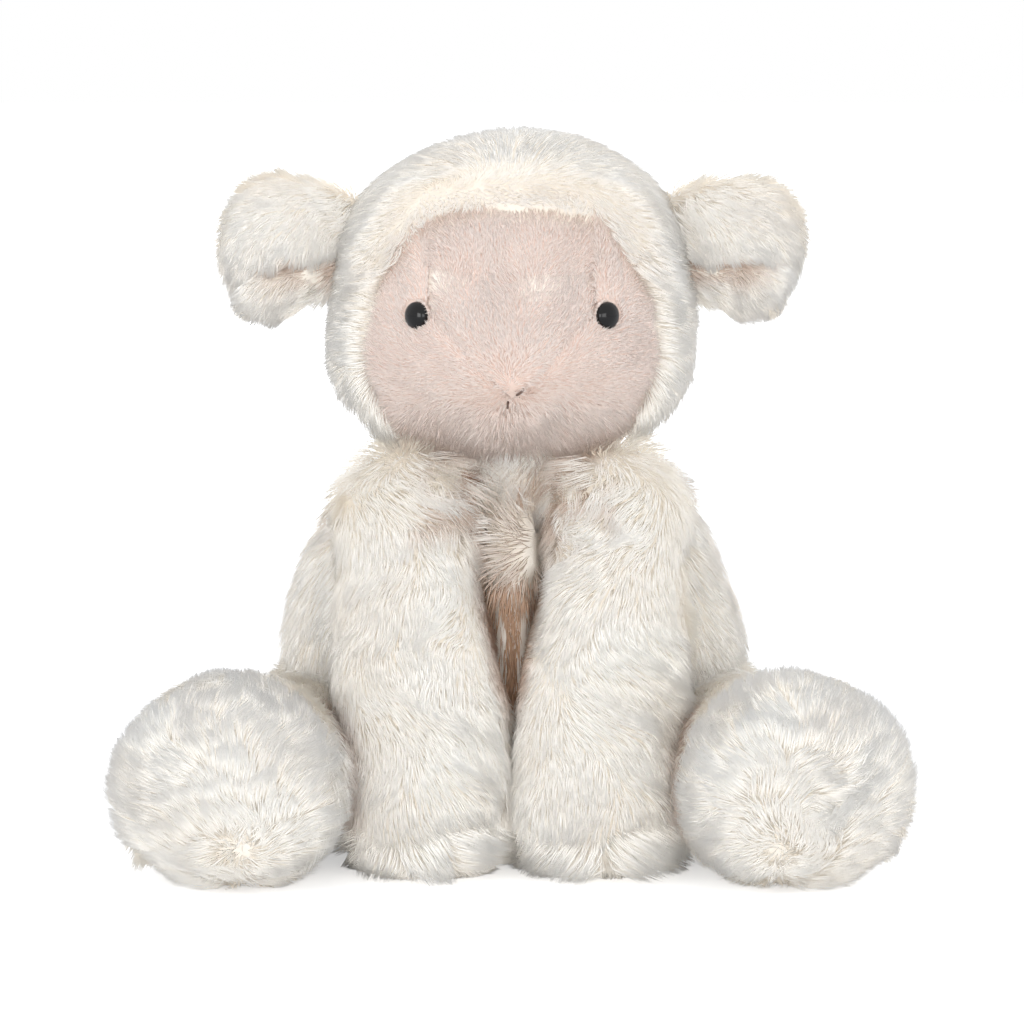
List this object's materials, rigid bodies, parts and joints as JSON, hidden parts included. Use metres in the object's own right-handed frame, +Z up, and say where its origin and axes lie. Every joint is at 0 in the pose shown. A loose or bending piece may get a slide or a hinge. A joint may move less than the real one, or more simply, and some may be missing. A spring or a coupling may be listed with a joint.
{
  "type": "plush sheep",
  "caption": "Seated plush sheep with long ivory pile, short-pile pink face, folded ears, hanging forelegs and spread hind legs.",
  "frame": {"origin": "on the floor under the middle of the seat, on the flat underside of the trunk", "axes": "+Z up, +X towards the sheep's own left, -Y towards the front, where the face and the soles point"},
  "size_m": [0.2442, 0.2266, 0.2332],
  "materials": {
    "ivory_plush": "long silky pile, matte",
    "pink_plush": "short dense pile, matte",
    "stuffing_fibre": "loose polyester fibre, matte",
    "bag_cloth": "thin woven cloth, matte",
    "pellet_fill": "small smooth pellets",
    "eye_plastic": "polished black",
    "washer_plastic": "moulded, matte",
    "nose_thread": "twisted thread, matte"
  },
  "bodies": {
    "trunk": {"body_back": "ivory_plush", "body_belly": "ivory_plush", "body_stuffing": "stuffing_fibre", "seat_pellet_bag": "bag_cloth", "seat_pellets": "pellet_fill"},
    "neck": {"neck_stuffing": "stuffing_fibre"},
    "head": {"head_cover": "ivory_plush", "face_gusset": "pink_plush", "left_cheek_panel": "pink_plush", "right_cheek_panel": "pink_plush", "head_stuffing": "stuffing_fibre", "nose_stitch": "nose_thread", "left_eye": "eye_plastic", "right_eye": "eye_plastic", "left_eye_washer": "washer_plastic", "right_eye_washer": "washer_plastic"},
    "tail": {"tail": "ivory_plush"},
    "left_ear": {"left_ear_back": "ivory_plush", "left_ear_lining": "ivory_plush"},
    "left_foreleg": {"left_foreleg_cover": "ivory_plush", "left_foreleg_stuffing": "stuffing_fibre"},
    "left_hind_leg": {"left_hind_leg_cover": "ivory_plush", "left_hind_sole": "ivory_plush", "left_hind_leg_stuffing": "stuffing_fibre"},
    "right_ear": {"right_ear_back": "ivory_plush", "right_ear_lining": "ivory_plush"},
    "right_foreleg": {"right_foreleg_cover": "ivory_plush", "right_foreleg_stuffing": "stuffing_fibre"},
    "right_hind_leg": {"right_hind_leg_cover": "ivory_plush", "right_hind_sole": "ivory_plush", "right_hind_leg_stuffing": "stuffing_fibre"}
  },
  "joints": [
    {"name": "head_turn", "type": "hinge", "parent": "trunk", "child": "neck", "pos_m": [0, -0.018, 0.133], "axis": [0, 0, 1], "range_deg": [-30, 30], "stiffness_Nm_per_rad": 0.3},
    {"name": "head_nod", "type": "hinge", "parent": "neck", "child": "head", "pos_m": [0, -0.018, 0.133], "axis": [-1, 0, 0], "range_deg": [-4, 12], "stiffness_Nm_per_rad": 0.5},
    {"name": "tail_wag", "type": "hinge", "parent": "trunk", "child": "tail", "pos_m": [0, 0.0688, 0.046], "axis": [0, 0, 1], "range_deg": [-25, 25], "stiffness_Nm_per_rad": 0.01},
    {"name": "left_ear_flap", "type": "hinge", "parent": "head", "child": "left_ear", "pos_m": [0.0622, -0.025, 0.1997], "axis": [0.3256, 0, -0.9455], "range_deg": [-20, 25], "stiffness_Nm_per_rad": 0.01},
    {"name": "left_foreleg_swing", "type": "hinge", "parent": "trunk", "child": "left_foreleg", "pos_m": [0.033, -0.044, 0.108], "axis": [-1, 0, 0], "range_deg": [0, 35], "stiffness_Nm_per_rad": 0.02},
    {"name": "left_hind_leg_splay", "type": "hinge", "parent": "trunk", "child": "left_hind_leg", "pos_m": [0.064, -0.012, 0.0315], "axis": [0, 0, 1], "range_deg": [0, 20], "stiffness_Nm_per_rad": 0.05},
    {"name": "right_ear_flap", "type": "hinge", "parent": "head", "child": "right_ear", "pos_m": [-0.0622, -0.025, 0.1997], "axis": [0.3256, 0, 0.9455], "range_deg": [-20, 25], "stiffness_Nm_per_rad": 0.01},
    {"name": "right_foreleg_swing", "type": "hinge", "parent": "trunk", "child": "right_foreleg", "pos_m": [-0.033, -0.044, 0.108], "axis": [-1, 0, 0], "range_deg": [0, 35], "stiffness_Nm_per_rad": 0.02},
    {"name": "right_hind_leg_splay", "type": "hinge", "parent": "trunk", "child": "right_hind_leg", "pos_m": [-0.064, -0.012, 0.0315], "axis": [0, 0, -1], "range_deg": [0, 20], "stiffness_Nm_per_rad": 0.05}
  ]
}
